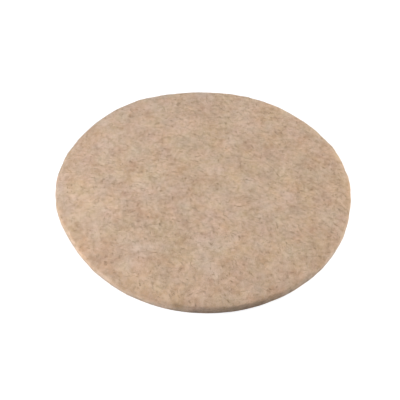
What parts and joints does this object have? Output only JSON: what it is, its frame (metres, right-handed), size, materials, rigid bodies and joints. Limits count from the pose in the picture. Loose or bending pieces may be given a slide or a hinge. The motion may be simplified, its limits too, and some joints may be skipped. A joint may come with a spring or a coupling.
{
  "type": "felt polishing wheel",
  "caption": "Flat round polishing wheel of pressed natural wool felt for a flat lap, with a peel-and-stick back under a release liner.",
  "frame": {"origin": "centre of the wheel's back, on the underside of the release liner", "axes": "+Z is the spin axis of the lap that carries the wheel, out of the polishing face; +X is the way the liner slides off"},
  "size_m": [0.204, 0.2031, 0.0067],
  "materials": {
    "wool_felt": "matte",
    "adhesive_film": "satin",
    "kraft_liner": "satin"
  },
  "bodies": {
    "pad": {"felt_disc": "wool_felt", "adhesive_film": "adhesive_film"},
    "liner": {"release_liner": "kraft_liner"}
  },
  "joints": [
    {"name": "liner_release", "type": "slide", "parent": "pad", "child": "liner", "axis": [1, 0, 0], "range_m": [0, 0.215]}
  ]
}
